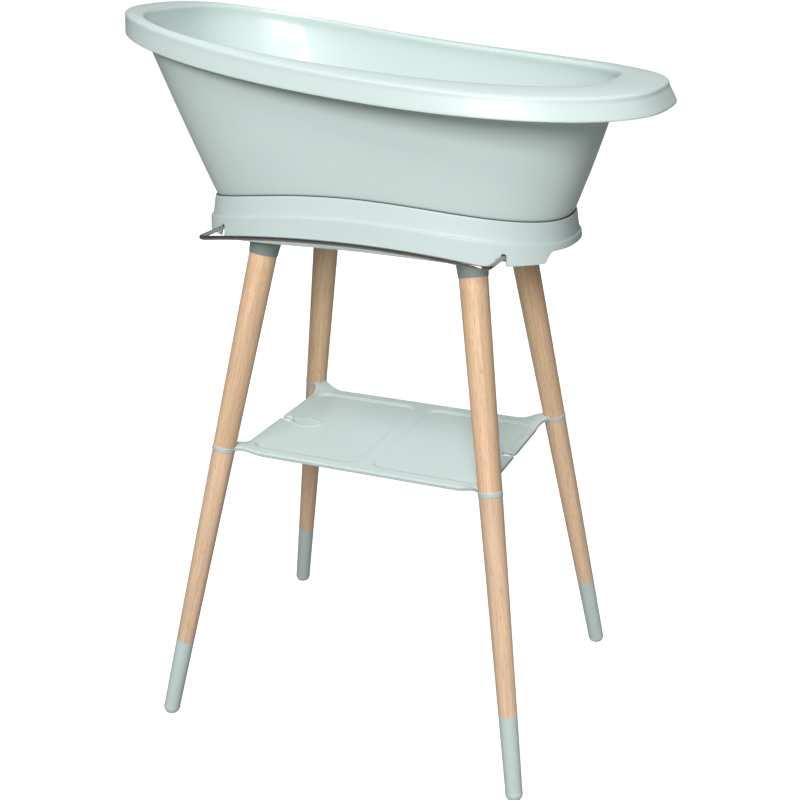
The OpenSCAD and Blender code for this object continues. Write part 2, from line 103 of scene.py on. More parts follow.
def split_axes(tree, vector):
    node = tree.nodes.new("ShaderNodeSeparateXYZ")
    tree.links.new(vector, node.inputs[0])
    return node.outputs


def noise(tree, vector, scale, detail=3.0, rough=0.5):
    node = add(tree, "ShaderNodeTexNoise", Scale=scale, Detail=detail, Roughness=rough)
    tree.links.new(vector, node.inputs["Vector"])
    return node.outputs["Fac"]


def ramp(tree, fac, stops):
    """Colours at (place, colour) stops, chosen by fac."""
    node = tree.nodes.new("ShaderNodeValToRGB")
    band = node.color_ramp
    while len(band.elements) < len(stops):
        band.elements.new(0.5)
    for element, (place, colour) in zip(band.elements, stops):
        element.position = place
        element.color = (*colour, 1.0)
    tree.links.new(fac, node.inputs["Fac"])
    return node.outputs["Color"]


def grey(v):
    return (v, v, v)


def to_range(tree, fac, low, high):
    """Maps 0 to 1 onto low to high."""
    node = tree.nodes.new("ShaderNodeMapRange")
    node.inputs["To Min"].default_value = low
    node.inputs["To Max"].default_value = high
    tree.links.new(fac, node.inputs["Value"])
    return node.outputs["Result"]


def step_between(tree, value, start, end):
    """0 at start, 1 at end, smooth between."""
    node = tree.nodes.new("ShaderNodeMapRange")
    node.interpolation_type = "SMOOTHSTEP"
    node.inputs["From Min"].default_value = start
    node.inputs["From Max"].default_value = end
    tree.links.new(value, node.inputs["Value"])
    return node.outputs["Result"]


def combine(tree, operation, a, b):
    node = tree.nodes.new("ShaderNodeMath")
    node.operation = operation
    tree.links.new(a, node.inputs[0])
    tree.links.new(b, node.inputs[1])
    return node.outputs["Value"]


def mix_colour(tree, fac, a, b, mode="MIX"):
    """a blended with b; each may be a socket, a colour or a number."""
    node = tree.nodes.new("ShaderNodeMix")
    node.data_type = "RGBA"
    node.blend_type = mode
    for socket, value in ((node.inputs[0], fac), (node.inputs[6], a), (node.inputs[7], b)):
        if isinstance(value, bpy.types.NodeSocket):
            tree.links.new(value, socket)
        elif isinstance(value, tuple):
            socket.default_value = (*value, 1.0)
        else:
            socket.default_value = value
    return node.outputs[2]


def bump(tree, height, strength, distance, normal=None):
    node = add(tree, "ShaderNodeBump", Strength=strength, Distance=distance)
    tree.links.new(height, node.inputs["Height"])
    if normal is not None:
        tree.links.new(normal, node.inputs["Normal"])
    return node.outputs["Normal"]


def shade(colour, factor):
    return tuple(min(1.0, c * factor) for c in colour)


def moulded(name, colour, rough, grain):
    """Injection-moulded plastic: faint flow mottle, fine grain, uneven polish."""
    mat, tree, bsdf = new_material(name)
    where = coordinate(tree)
    cloud = noise(tree, where, MOTTLE_SCALE, 3.0)
    base = ramp(tree, cloud, [(0.25, shade(colour, 0.975)), (0.75, shade(colour, 1.015))])
    tree.links.new(base, bsdf.inputs["Base Color"])
    smear = noise(tree, where, SMEAR_SCALE, 2.0)
    tree.links.new(to_range(tree, smear, rough - 0.03, rough + 0.05), bsdf.inputs["Roughness"])
    fine = noise(tree, where, GRAIN_SCALE, 1.0)
    tree.links.new(bump(tree, fine, grain, GRAIN_DEPTH), bsdf.inputs["Normal"])
    bsdf.inputs["IOR"].default_value = PLASTIC_IOR
    return mat


def shelf_finish_and_light(name, colour, lit_top_colour):
    """Shelf moulding with painted light: the faces that look up are painted a little lighter than
    the edges.
    """
    mat = moulded(name, colour, ROUGH_SATIN, GRAIN_SATIN)
    tree = mat.node_tree
    bsdf = tree.nodes["Principled BSDF"]
    facing = split_axes(tree, coordinate(tree, "Normal"))
    # Painted light: faces that look up get the lighter top colour, the edges and sides keep the
    # darker one
    up = step_between(tree, facing["Z"], 0.55, 0.9)
    plain = bsdf.inputs["Base Color"].links[0].from_socket
    tree.links.new(mix_colour(tree, up, plain, lit_top_colour), bsdf.inputs["Base Color"])
    return mat


def tub_finish_and_shade(name, colour, rim_shade_colour, inner_shade_colour):
    """Tub moulding: satin outside, polished inside; painted shade makes the rim and the inside
    darker than the body and darkens the crease under the rim.
    """
    mat = moulded(name, colour, ROUGH_TUB, GRAIN_FINE)
    tree = mat.node_tree
    bsdf = tree.nodes["Principled BSDF"]
    normal = coordinate(tree, "Normal")
    place, facing = split_axes(tree, coordinate(tree)), split_axes(tree, normal)
    flat = tree.nodes.new("ShaderNodeCombineXYZ")
    tree.links.new(place["X"], flat.inputs["X"])
    tree.links.new(place["Y"], flat.inputs["Y"])
    outward, along = (tree.nodes.new("ShaderNodeVectorMath") for _ in range(2))
    outward.operation, along.operation = "NORMALIZE", "DOT_PRODUCT"
    tree.links.new(flat.outputs["Vector"], outward.inputs[0])
    tree.links.new(outward.outputs["Vector"], along.inputs[0])
    tree.links.new(normal, along.inputs[1])
    # The inside is where a face looks back to the middle, or looks up below the rim; it gets a
    # darker colour, painted shade, and a glossier coat
    wall = step_between(tree, along.outputs["Value"], -0.2, -0.6)
    level = step_between(tree, facing["Z"], 0.5, 0.8)
    low = step_between(tree, place["Z"], BASIN_TOP, BASIN_LOW)
    inner = combine(tree, "MAXIMUM", wall, combine(tree, "MULTIPLY", level, low))
    plain = bsdf.inputs["Base Color"].links[0].from_socket
    # Painted shade: faces that do not look down, on the rim, get the darker rim colour
    rim = step_between(tree, facing["Z"], -0.2, 0.05)
    base = mix_colour(tree, inner, mix_colour(tree, rim, plain, rim_shade_colour), inner_shade_colour)
    # Painted shade in the crease under the rim: ambient occlusion darkens the outside's colour, the
    # inside is left out
    crease = add(tree, "ShaderNodeAmbientOcclusion", Distance=CREASE_REACH)
    crease.samples = 8
    depth = ramp(tree, crease.outputs["AO"], [(0.38, grey(0.14)), (0.90, grey(1.0))])
    shaded = mix_colour(tree, 1.0, base, depth, "MULTIPLY")
    tree.links.new(mix_colour(tree, inner, shaded, base), bsdf.inputs["Base Color"])
    tree.links.new(to_range(tree, inner, COAT_OUTSIDE, COAT_INSIDE), bsdf.inputs["Coat Weight"])
    bsdf.inputs["Coat Roughness"].default_value = COAT_ROUGH
    return mat


def beech(name, colour, axis, seed):
    """Lacquered beech: fibre streaks and short ray flecks that run along the leg's axis."""
    mat, tree, bsdf = new_material(name)
    turn = tree.nodes.new("ShaderNodeMapping")
    turn.vector_type = "POINT"
    turn.inputs["Rotation"].default_value = axis.rotation_difference(Vector((0, 0, 1))).to_euler()
    turn.inputs["Location"].default_value = (seed * 1.7, seed * 0.9, seed * 0.37)
    tree.links.new(coordinate(tree), turn.inputs["Vector"])

    def stretched(across, along):
        """Texture space with its cells drawn out along the leg."""
        node = tree.nodes.new("ShaderNodeMapping")
        node.inputs["Scale"].default_value = (across, across, along)
        tree.links.new(turn.outputs["Vector"], node.inputs["Vector"])
        return node.outputs["Vector"]

    tone = noise(tree, stretched(30, 2.0), 1.0, 4.0)
    fibre = noise(tree, stretched(420, 9.0), 1.0, 3.0, 0.6)
    fleck = noise(tree, stretched(900, 75.0), 1.0, 1.0, 0.4)
    pore = noise(tree, stretched(1500, 40.0), 1.0, 2.0)
    tones = [(0.32, shade(colour, 0.86)), (0.50, colour), (0.68, shade(colour, 1.10))]
    base = ramp(tree, tone, tones)
    streak = ramp(tree, fibre, [(0.36, grey(0.80)), (0.55, grey(1.0)), (0.75, grey(1.05))])
    base = mix_colour(tree, 0.75, base, streak, "MULTIPLY")
    mask = ramp(tree, fleck, [(0.60, grey(0.0)), (0.68, grey(0.62))])
    base = mix_colour(tree, mask, base, shade(colour, 0.62))
    tree.links.new(base, bsdf.inputs["Base Color"])
    tree.links.new(to_range(tree, fibre, 0.42, 0.58), bsdf.inputs["Roughness"])
    normal = bump(tree, pore, 0.25, 0.0001)
    tree.links.new(bump(tree, fibre, 0.22, 0.0002, normal), bsdf.inputs["Normal"])
    bsdf.inputs["Coat Weight"].default_value = LACQUER
    bsdf.inputs["Coat Roughness"].default_value = LACQUER_ROUGH
    return mat


def metal(name, colour, rough, brush):
    """Metal with fine drawing lines and slightly uneven polish."""
    mat, tree, bsdf = new_material(name)
    where = coordinate(tree)
    stretch = tree.nodes.new("ShaderNodeMapping")
    stretch.inputs["Scale"].default_value = (18, 900, 900)
    tree.links.new(where, stretch.inputs["Vector"])
    lines = noise(tree, stretch.outputs["Vector"], 1.0, 3.0)
    cloud = noise(tree, where, 60.0, 4.0)
    tree.links.new(
        ramp(tree, cloud, [(0.3, shade(colour, 0.9)), (0.7, shade(colour, 1.06))]),
        bsdf.inputs["Base Color"],
    )
    tree.links.new(to_range(tree, lines, rough * 0.7, rough * 1.4), bsdf.inputs["Roughness"])
    tree.links.new(bump(tree, lines, brush, 0.00005), bsdf.inputs["Normal"])
    bsdf.inputs["Metallic"].default_value = 1.0
    return mat


def rubber(name, colour):
    """Dull rubber with a dusty, slightly pitted face."""
    mat, tree, bsdf = new_material(name)
    dust = noise(tree, coordinate(tree), 120.0, 5.0)
    tree.links.new(
        ramp(tree, dust, [(0.3, shade(colour, 0.85)), (0.75, shade(colour, 1.25))]),
        bsdf.inputs["Base Color"],
    )
    bsdf.inputs["Roughness"].default_value = 0.75
    tree.links.new(bump(tree, dust, 0.3, 0.0003), bsdf.inputs["Normal"])
    return mat


TUB_PLASTIC = tub_finish_and_shade("tub_plastic", MINT_BODY, MINT_RIM_PAINTED_SHADE, MINT_INNER_PAINTED_SHADE)
STAND_PLASTIC = moulded("stand_plastic", MINT_SATIN, ROUGH_SATIN, GRAIN_SATIN)
SHELF_PLASTIC = shelf_finish_and_light(
    "shelf_plastic", shade(MINT_SATIN, SHELF_EDGE_SHADE), shade(MINT_SATIN, SHELF_TOP_LIGHT)
)
GREY_PLASTIC = moulded("grey_plastic", MINT_GREY, ROUGH_GREY, GRAIN_COARSE)
# The sockets' darker colour is painted shade
SOCKET_SHADED_PLASTIC = moulded("socket_shaded_plastic", MINT_SOCKET_PAINTED_SHADE, ROUGH_GREY, GRAIN_COARSE)
WIRE = metal("stainless_wire", WIRE_GREY, 0.11, 0.08)
ZINC = metal("zinc_steel", ZINC_GREY, 0.32, 0.20)
BRASS = metal("insert_brass", BRASS_YELLOW, 0.30, 0.20)
SEAL = rubber("seal_rubber", SEAL_BLACK)
# First grain seed of the upper and of the lower legs
UPPER_SEED, LOWER_SEED = 3, 11


def dress(node, mat):
    """Gives a CAD node its material."""
    mesh = NODES[node].data
    mesh.materials.clear()
    mesh.materials.append(mat)


def leg_axis(node):
    """Direction of a turned leg, from the spread of its own vertices."""
    mesh = NODES[node].data
    co = np.empty(len(mesh.vertices) * 3)
    mesh.vertices.foreach_get("co", co)
    co = co.reshape(-1, 3)
    _, _, axes = np.linalg.svd(co - co.mean(0), full_matrices=False)
    return Vector(axes[0] * math.copysign(1.0, axes[0][2]))


for index, leg in enumerate(LEGS):
    for part, colour, seed in (
        ("upper_leg", BEECH_WARM, UPPER_SEED),
        ("lower_leg", BEECH_PALE, LOWER_SEED),
    ):
        node = f"{part}_{leg}"
        dress(node, beech(node + "_beech", colour, leg_axis(node), index + seed))
    dress(f"foot_cap_{leg}", GREY_PLASTIC)
    dress(f"leg_socket_{leg}", SOCKET_SHADED_PLASTIC)
for node in ("drain_outlet", "drain_ring_nut", "drain_plug", "rail_clip_left", "rail_clip_right"):
    dress(node, GREY_PLASTIC)
for node in ("rail_clip_screws", "socket_screws", "leg_bolts", "leg_joint_studs"):
    dress(node, ZINC)
dress("leg_bolt_inserts", BRASS)
dress("drain_seal", SEAL)
dress("towel_rail", WIRE)
dress("cradle_frame", STAND_PLASTIC)
dress("shelf_tray", SHELF_PLASTIC)
dress("tub_shell", TUB_PLASTIC)

# ------------------------------------------------------------------ sizes of the moulded pieces, mm
# Ovals: half length, half width, exponent, centre along x, egg shape
EDGE_OVAL = (381.8, 211.2, 2.69, -6.25, 0.086)
LIP_OVAL = (328.2, 179.2, 2.95, -17.8, -0.092)
SKIRT_OVAL = (388.0, 217.4, 2.69, 0.0, 0.086)
CRADLE_X = -1.12
CRADLE_A, CRADLE_N = 267.6, 2.49
CRADLE_OVAL = (CRADLE_A, 138.2, CRADLE_N, CRADLE_X, 0.0)
BASE_OVAL = (224, 84, 2.3, CRADLE_X, 0.0)
DECK_HOLE_OVAL = (188, 56, 2.5, CRADLE_X, 0.0)

# Rim crown: height at the foot end, its climb, where the climb starts, its run and its power
CROWN_FOOT_Z, CROWN_RISE = 972.0, 57.4
CROWN_FROM_X, CROWN_RUN, CROWN_POWER = 472, 748, 2.25
EDGE_DROP, SKIRT_DROP = 11, 34.0
# Belly of the leaning wall, and its distances inside the cradle's top edge and inside the lip
WALL_BELLY, WALL_IN_CRADLE, WALL_AT_LIP = 7.2, 2.9, 1.2
TUB_BASE_Z = 765.5
TUB_WALL = 3.2
DRAIN_X = 132.0
DRAIN_HOLE_R = 14.05
TUB_COLUMNS = 288

# Cradle's top edge: height at the middle, then the factors of u, u^2, u^3 and u^4
CREST_Z, CREST_FACTORS = 813.7, (-2.28, -38.6, 5.73, 10.33)
DECK_T = 4.0
DECK_UNDER = TUB_BASE_Z - DECK_T
PAD_T = 8.0
PAD_UNDER = DECK_UNDER - PAD_T
PLATE_EDGE = 0.8
CRADLE_WALL = 3
CRADLE_COLUMNS = 620
# How far the apron stands out from the cradle's top edge where its notches are laid out
APRON_OUT = 8
APRON_ARCH_Z, APRON_TAB_Z, APRON_END_Z = 746.0, 737.0, 751.5
# Distances from the middle: end of the arch, inner and outer side of the tabs; run of the rise
ARCH_HALF, TAB_FROM, TAB_TO, TAB_SLOPE = 187, 205, 251, 9
# Rounding of the arch up to the foot-end notch: where it starts, its run and its height
ROUND_FROM, ROUND_RUN, ROUND_RISE = 184, 17, 12
# Band profile from the step line up over the crest: depth under the crest, stand-out
BAND = [(28.9, 7.2), (28.3, 7.0), (27.9, 6.5), (27.6, 5.6), (27.3, 4.7), (26.9, 4.2)]
BAND += [(26.2, 3.95), (24, 3.6), (18, 2.7), (12, 1.8), (6, 0.9), (2.4, 0.35), (1.2, 0.12)]
BAND += [(0.45, -0.15), (0.1, -0.6), (0.1, -1.3), (0.45, -1.8), (1.2, -2.15), (2.6, -2.25)]
BAND_STEP = 30.5

NOTCH_R = 4.0
RAIL_X, RAIL_HALF, RAIL_Z = -6.45, 211.0, 749.5
NOTCHES = (RAIL_X - RAIL_HALF, RAIL_X + RAIL_HALF)
# Columns at the sides of a notch, as parts of its radius
NOTCH_COLUMNS = (-1.015, -1.0, -0.98, -0.9, -0.76, 0.76, 0.9, 0.98, 1.0, 1.015)
# Radii of the wire, of its front corners and of its turned-in ends
WIRE_R, RAIL_BEND, RAIL_HOOK = 3.0, 13.0, 8.0
# Front bar, middle of the ends and length of the ends
RAIL_REACH, RAIL_END_Y, RAIL_END_LENGTH = 177.5, -62, 14
# Slope of the front bar at its ends
RAIL_ARCH = math.radians(6.4)
WIRE_SIDES = 24
RAIL_PAD_Y, RAIL_PAD_LIFT = -84, 3.05

LEGS_X = 3.95
FOOT_XY, TOP_XY, SOCKET_Z = (281.2, 232.2), (158.0, 106.7), 717.5
FOOT_R, TOP_R = 12.1, 20.0
# Height at which a socket's pad is centred on the leg's axis
PAD_AXIS_Z = PAD_UNDER - 2
# Radii of a pad and of its screw ears, and the ears' distance from its middle
PAD_R, EAR_R, EAR_X = 25.5, 8, 30

SHELF_Z, SHELF_T, SHELF_HALF = 423.5, 6.0, (193.0, 144.0)
RING_Z, RING_T = 429.2, 7.5
RING_R = FOOT_R + (TOP_R - FOOT_R) * RING_Z / SOCKET_Z + 0.6
# Ring section: half its wall, steps round the leg, steps round the section, squareness
RING_WALL, RING_SIDES, RING_PROFILE, RING_POWER = 1.2, 64, 16, 0.35
# Radii of the hollow flares, and the run over which a neck rises to its ring
FLARE_X, FLARE_Y = 36, 50
NECK_RUN = 40
# End slots: how far in they reach before the round end, its radius, radius of the mouth
SLOT_IN, SLOT_R, MOUTH_R = 18.0, 4.0, 3
SHELF_SOFT = 2.0
# Trays: distance from the middle, half size, corner radius, run of the slope, depth
TRAY_X, TRAY_HALF, TRAY_R, TRAY_SLOPE, TRAY_DEPTH = 96, (86, 124), 20, 4.5, 3.0
UNDER_DEPTH = 0.8
# Rib round each slot: place, radius, half width, squeeze across, height as a part of the tray
RIB_X, RIB_R, RIB_HALF, RIB_STRETCH, RIB_SHARE = 150, 24, 5, 1.6, 0.55
GRID_STEP, OUTLINE_STEP = 3.2, 2.5
# Rows of points just inside the outline, and where the grid begins
EDGE_INSETS, GRID_INSET = (0.35, 1.0, 2.0, 3.6), 4.6


# ------------------------------------------------------------------ outlines and rings
def spow(v, p):
    """Power that keeps the sign."""
    return np.sign(v) * np.abs(v) ** p


def lerp(a, b, w):
    """From a (w 0) to b (w 1)."""
    return a + (b - a) * w


def smooth(v):
    """0 to 1 with a soft start and end."""
    v = np.clip(v, 0, 1)
    return v * v * (3 - 2 * v)


def circle(count):
    """Points of a unit circle, as rows."""
    angle = np.linspace(0, 2 * math.pi, count, endpoint=False)
    return np.stack([np.cos(angle), np.sin(angle)], -1)


def oval(t, shape, o=0.0):
    """Points of one of the ovals above, drawn o inside its own line."""
    a, b, n, cx, egg = shape
    a, b = a - o, b - o
    px = a * spow(np.cos(t), 2 / n)
    return np.stack([cx + px, b * spow(np.sin(t), 2 / n) * (1 + egg * px / a)], -1)


def with_z(xy, z):
    """Plan points raised to height z, one height or one for each."""
    return np.concatenate([xy, np.broadcast_to(np.asarray(z, float), xy.shape[:1])[:, None]], 1)


def crown(x):
    """Height of the rim's crown along the tub."""
    return CROWN_FOOT_Z + CROWN_RISE * np.maximum(0, (CROWN_FROM_X - x) / CROWN_RUN) ** CROWN_POWER


def cradle_xy(t, o=0.0):
    """Outline of the cradle, o outside its top edge."""
    return oval(t, CRADLE_OVAL, -o)


def cradle_top(x):
    """Height of the cradle's top edge; u runs from -1 to 1 along it."""
    u = np.clip((x - CRADLE_X) / CRADLE_A, -1, 1)
    c1, c2, c3, c4 = CREST_FACTORS
    return CREST_Z + c1 * u + c2 * u**2 + c3 * u**3 + c4 * u**4


def rim_ring(t, w, dz, o=0.0):
    """Ring on the rim, from the lip (w 0) to the edge (w 1), dz under the crown."""
    xy = lerp(oval(t, LIP_OVAL, -o), oval(t, EDGE_OVAL, o), w)
    return with_z(xy, crown(xy[:, 0]) - dz)


def skirt_ring(t, w, o=0.0):
    """Ring on the turned-down skirt, from the rim's edge (w 0) to its lower edge (w 1)."""
    xy = lerp(oval(t, EDGE_OVAL, o), oval(t, SKIRT_OVAL, o), w)
    return with_z(xy, crown(xy[:, 0]) - lerp(EDGE_DROP, SKIRT_DROP, w))


def wall_range(t):
    """Heights of the leaning wall's lower and upper end."""
    low = cradle_top(cradle_xy(t)[:, 0]) + 1
    return low, crown(oval(t, LIP_OVAL)[:, 0]) - SKIRT_DROP


def wall_ring(t, w, o=0.0):
    """Ring on the leaning wall, from the cradle's top edge (w 0) to the lip (w 1)."""
    w = np.broadcast_to(np.asarray(w, float), t.shape)[:, None]
    low, high = wall_range(t)
    out = np.stack([np.cos(t), np.sin(t)], -1)
    xy = lerp(cradle_xy(t, -WALL_IN_CRADLE - o), oval(t, LIP_OVAL, WALL_AT_LIP + o), w)
    return with_z(xy + WALL_BELLY * w * (1 - w) * out, lerp(low, high, w[:, 0]))


def base_ring(t, z, o=0.0):
    """Ring round the tub's flat base."""
    return with_z(oval(t, BASE_OVAL, o), z)


def round_ring(t, w, z, o):
    """Ring on the turn between the flat base at z (w 0) and the leaning wall (w 1)."""
    low, high = wall_range(t)
    a, b, c = base_ring(t, z, o), wall_ring(t, (z - low) / (high - low), o), wall_ring(t, 0.0, o)
    return a * (1 - w) ** 2 + b * 2 * w * (1 - w) + c * w * w


def even_columns(outline, count):
    """Parameters that place count columns evenly along an outline."""
    s = np.linspace(0, 1, 3001)
    quarter = s * s * (3 - 2 * s) * math.pi / 2
    t = np.concatenate([quarter[:-1] + k * math.pi / 2 for k in range(4)] + [[2 * math.pi]])
    steps = np.linalg.norm(np.diff(outline(t), axis=0), axis=1)
    length = np.concatenate([[0], np.cumsum(steps)])
    return np.interp(np.linspace(0, length[-1], count + 1)[:-1], length, t)


def flow(rings, per):
    """Smooth curve through a stack of rings, per steps between neighbours."""
    p = np.array(rings)
    h = np.sqrt(np.linalg.norm(np.diff(p, axis=0), axis=2).mean(1)).clip(1e-3)
    slope = np.diff(p, axis=0) / h[:, None, None]
    tangent = np.empty_like(p)
    tangent[0], tangent[-1] = slope[0], slope[-1]
    a, b = h[:-1, None, None], h[1:, None, None]
    tangent[1:-1] = (slope[:-1] * b + slope[1:] * a) / (a + b)
    out = [p[0]]
    for i in range(len(p) - 1):
        for k in range(1, per + 1):
            u = k / per
            out.append(
                p[i] * (2 * u**3 - 3 * u**2 + 1)
                + tangent[i] * h[i] * (u**3 - 2 * u**2 + u)
                + p[i + 1] * (3 * u**2 - 2 * u**3)
                + tangent[i + 1] * h[i] * (u**3 - u**2)
            )
    return out


# ------------------------------------------------------------------ meshes
def loop_faces(rows, cols, closed):
    """Quads of a skin over rows of cols points; closed joins the last row to the first."""
    quads = []
    i = np.arange(cols)
    j = (i + 1) % cols
    for r in range(rows if closed else rows - 1):
        s = (r + 1) % rows
        quads.append(np.stack([r * cols + i, r * cols + j, s * cols + j, s * cols + i], -1))
    return np.concatenate(quads).tolist()


def join(parts):
    """One array of points and one list of faces from several (points, faces) pairs."""
    points, faces, start = [], [], 0
    for part_points, part_faces in parts:
        points.append(part_points)
        faces += [[start + i for i in face] for face in part_faces]
        start += len(part_points)
    return np.concatenate(points), faces


def make_piece(name, shape, body, material, sharp):
    """A mesh given in mm, riding on a body; edges above sharp degrees stay crisp."""
    verts, faces = shape
    mesh = bpy.data.meshes.new(name)
    mesh.from_pydata((np.asarray(verts) * MM).tolist(), [], faces)
    mesh.validate()
    bm = bmesh.new()
    bm.from_mesh(mesh)
    bmesh.ops.remove_doubles(bm, verts=bm.verts, dist=1e-6)
    bmesh.ops.recalc_face_normals(bm, faces=bm.faces)
    bm.to_mesh(mesh)
    bm.free()
    mesh.shade_smooth()
    mesh.set_sharp_from_angle(angle=math.radians(sharp))
    obj = bpy.data.objects.new(name, mesh)
    bpy.context.scene.collection.objects.link(obj)
    mesh.materials.append(material)
    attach(obj, body)
    return obj


def leg_xy(z):
    """Distances of a leg's axis from the middle of the stand at height z."""
    u = z / SOCKET_Z
    return lerp(FOOT_XY[0], TOP_XY[0], u), lerp(FOOT_XY[1], TOP_XY[1], u)


# ------------------------------------------------------------------ tub
def make_tub():
    """One moulding: floor with its drain hole, rounded turn, leaning wall, rolled rim, skirt."""
    t = even_columns(lambda t: oval(t, EDGE_OVAL), TUB_COLUMNS)

    def hole_ring(z):
        d = base_ring(t, z)[:, :2] - (DRAIN_X, 0)
        unit = d / np.linalg.norm(d, axis=1)[:, None]
        return with_z((DRAIN_X, 0) + unit * DRAIN_HOLE_R, z)

    floor_z = TUB_BASE_Z + TUB_WALL
    turn = [0, 0.1, 0.22, 0.34, 0.46, 0.58, 0.7, 0.84]
    climb = [0, 0.15, 0.3, 0.45, 0.6, 0.75, 0.9, 1]
    under = [hole_ring(TUB_BASE_Z), base_ring(t, TUB_BASE_Z, 8), base_ring(t, TUB_BASE_Z, 1)]
    outside = [round_ring(t, w, TUB_BASE_Z, 0) for w in turn] + [wall_ring(t, w) for w in climb]
    # Under the rim, from the wall outward: (w, depth, inset)
    roof = [(0, 12, TUB_WALL), (0.12, 5, TUB_WALL), (0.85, 9, 3), (1, 14, 3)]
    roof = [rim_ring(t, *place) for place in roof] + [skirt_ring(t, 0.94, 2.6)]
    skirt = [(0.995, 2.2), (1, 1.7), (0.995, 0.9), (0.965, 0.25)]
    skirt = [skirt_ring(t, *place) for place in skirt]
    face = [skirt_ring(t, w) for w in (0.9, 0.65, 0.35, 0.08)]
    # Over the rim from its edge to the lip, then down into the tub: (w, depth)
    top = [(1, 9.2), (0.985, 7.6), (0.94, 6), (0.8, 3.9), (0.55, 1.4), (0.3, 0), (0.14, 0.2)]
    top += [(0.05, 1), (0, 2.6), (-0.03, 5.5), (-0.02, 14)]
    top = [rim_ring(t, *place) for place in top]
    inside = [wall_ring(t, w, TUB_WALL) for w in climb[::-1]]
    inside += [round_ring(t, w, floor_z, TUB_WALL) for w in turn[::-1]]
    floor = [base_ring(t, floor_z, 4.2), base_ring(t, floor_z, 12), hole_ring(floor_z)]
    stack = under + flow(outside, 2) + flow(roof, 3) + flow(skirt, 2)
    stack += flow(face + top + inside, 3) + floor
    rows = [stack[0]]
    for ring in stack[1:]:
        if np.abs(ring - rows[-1]).max() > 1e-6:
            rows.append(ring)
    shape = np.concatenate(rows), loop_faces(len(rows), len(t), True)
    obj = make_piece("tub_moulding", shape, "tub", TUB_PLASTIC, 50)
    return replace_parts(obj, "tub_shell")


# ------------------------------------------------------------------ cradle
def cradle_columns():
    """Columns round the cradle, closer together at the sides of the rail notches."""
    t = even_columns(lambda t: cradle_xy(t, APRON_OUT), CRADLE_COLUMNS)
    extra = []
    for notch in NOTCHES:
        for part in NOTCH_COLUMNS:
            u = (notch + part * NOTCH_R - CRADLE_X) / (CRADLE_A + APRON_OUT)
            extra.append(2 * math.pi - math.acos(spow(u, CRADLE_N / 2)))
    return np.sort(np.concatenate([t, extra]))


def apron_z(x, y):
    """Lower edge of the apron: an arch, rounded up to the foot-end notch, tabs, raised ends."""
    d = np.abs(x)
    fall = 1 - np.cos(math.pi / 2 * np.minimum(d, ARCH_HALF) / ARCH_HALF)
    arch = APRON_ARCH_Z - (APRON_ARCH_Z - APRON_TAB_Z) * fall
    arch = arch + np.where(y < 0, ROUND_RISE * smooth((x - ROUND_FROM) / ROUND_RUN), 0)
    climb = (1 - np.cos(math.pi * np.clip((d - TAB_TO) / TAB_SLOPE, 0, 1))) / 2
    return np.where(d <= TAB_FROM, arch, lerp(APRON_TAB_Z, APRON_END_Z, climb))


def notched_edge(xy):
    """Height of the cradle's lower edge with the two rail notches in its front."""
    low = apron_z(xy[:, 0] - CRADLE_X, xy[:, 1])
    for notch in NOTCHES:
        dx = xy[:, 0] - notch
        arch = RAIL_Z + 0.3 + np.sqrt(np.maximum(0, NOTCH_R**2 - dx * dx))
        low = np.where((np.abs(dx) <= NOTCH_R) & (xy[:, 1] < 0), arch, low)
    return low


def plate(outline, z_low):
    """Solid plate under the deck over a convex outline, its lower edge rounded."""
    n = len(outline)
    mid = outline.mean(0)
    spread = np.linalg.norm(outline - mid, axis=1).max()
    small = mid + (outline - mid) * (1 - PLATE_EDGE / spread)
    rows = [(outline, DECK_UNDER + 1), (outline, z_low + PLATE_EDGE), (small, z_low)]
    faces = loop_faces(3, n, False) + [[2 * n + i for i in range(n)], list(range(n))[::-1]]
    return np.concatenate([with_z(xy, z) for xy, z in rows]), faces


def cradle_pads():
    """Pads under the deck: one for each leg socket with its two screw ears, one per clip."""
    cx, cy = leg_xy(PAD_AXIS_Z)
    disc = circle(48)
    ear_bar = np.array([(-EAR_X, -7), (EAR_X, -7), (EAR_X, 7), (-EAR_X, 7)])
    clip_bar = np.array([(-13, -7), (13, -7), (13, 7), (-13, 7)])
    pads = []
    for sx in (-1, 1):
        for sy in (-1, 1):
            middle = np.array([LEGS_X + sx * cx, sy * cy])
            pads.append(plate(middle + disc * PAD_R, PAD_UNDER))
            for side in (-1, 1):
                pads.append(plate(middle + (EAR_X * side, 0) + disc * EAR_R, PAD_UNDER))
            pads.append(plate(middle + ear_bar, PAD_UNDER))
        clip = np.array([RAIL_X + sx * RAIL_HALF, RAIL_PAD_Y])
        pads.append(plate(clip + clip_bar, RAIL_Z + RAIL_PAD_LIFT))
    return pads


